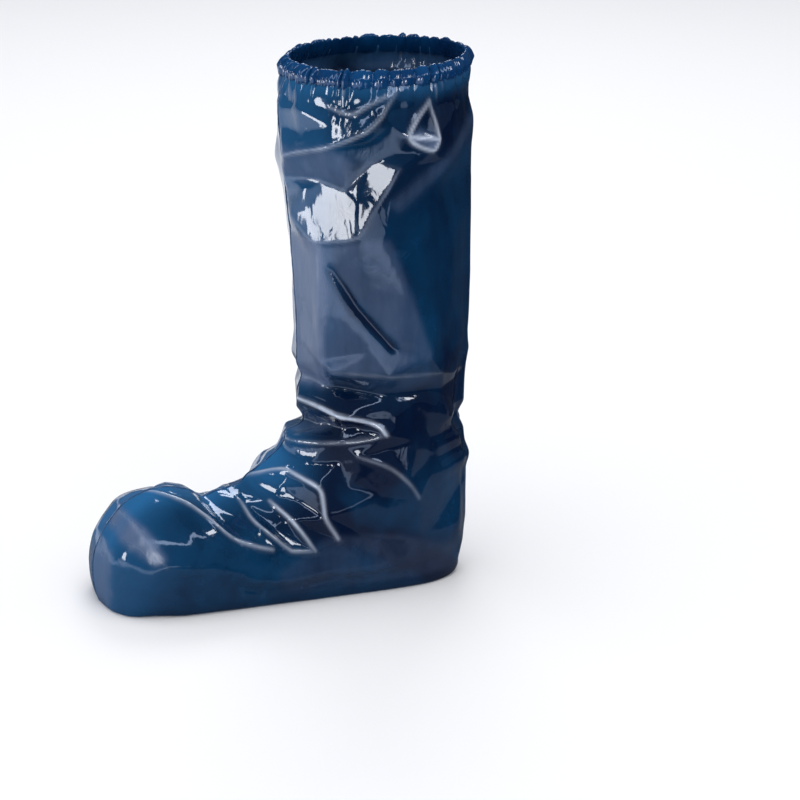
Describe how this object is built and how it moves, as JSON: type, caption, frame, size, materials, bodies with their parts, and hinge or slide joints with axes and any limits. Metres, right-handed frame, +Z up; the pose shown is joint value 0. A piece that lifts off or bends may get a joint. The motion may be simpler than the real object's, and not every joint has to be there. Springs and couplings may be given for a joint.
{
  "type": "shoe cover",
  "caption": "High shoe cover of glossy blue film: two boot-shaped panels joined by a welded edge, with a gathered elastic top, shaped as worn.",
  "frame": {"origin": "centre of the inner face of the sole, where the worn shoe's sole rests inside the cover", "axes": "+Z up along the leg, -Y towards the toe, +X towards the right panel"},
  "size_m": [0.1688, 0.333, 0.4541],
  "materials": {
    "film": "glossy, slightly see-through blue film",
    "weld": "glossy welded film edge",
    "casing": "glossy gathered film",
    "elastic": "matt woven elastic"
  },
  "bodies": {
    "root": {"right_panel": "film", "left_panel": "film", "edge_weld": "weld", "hem_casing": "casing", "elastic": "elastic"}
  },
  "joints": []
}
